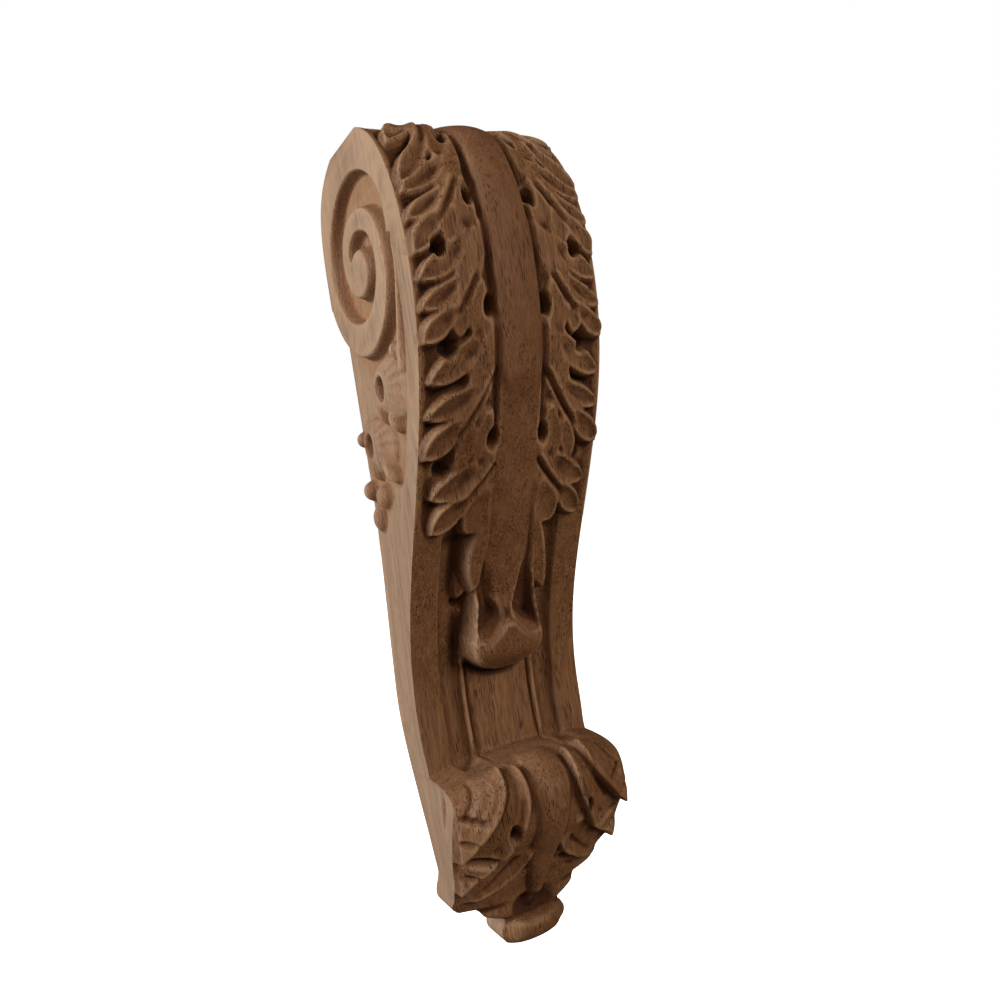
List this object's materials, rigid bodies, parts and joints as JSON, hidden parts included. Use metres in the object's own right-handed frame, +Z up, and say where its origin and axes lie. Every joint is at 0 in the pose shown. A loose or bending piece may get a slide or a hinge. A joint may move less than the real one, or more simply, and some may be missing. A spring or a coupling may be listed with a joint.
{
  "type": "carved corbel applique",
  "caption": "Long S-curved wooden corbel applique with a volute, acanthus leaves, flutes and a leaf foot.",
  "frame": {"origin": "middle of the flat back, on the back's plane", "axes": "+Z up along the length, towards the volute; +Y out of the flat back into the wall; the carved front faces -Y"},
  "size_m": [0.0688, 0.0722, 0.2756],
  "materials": {
    "wood": "bare, unfinished, carved"
  },
  "bodies": {
    "root": {"carved_corbel": "wood"}
  },
  "joints": []
}
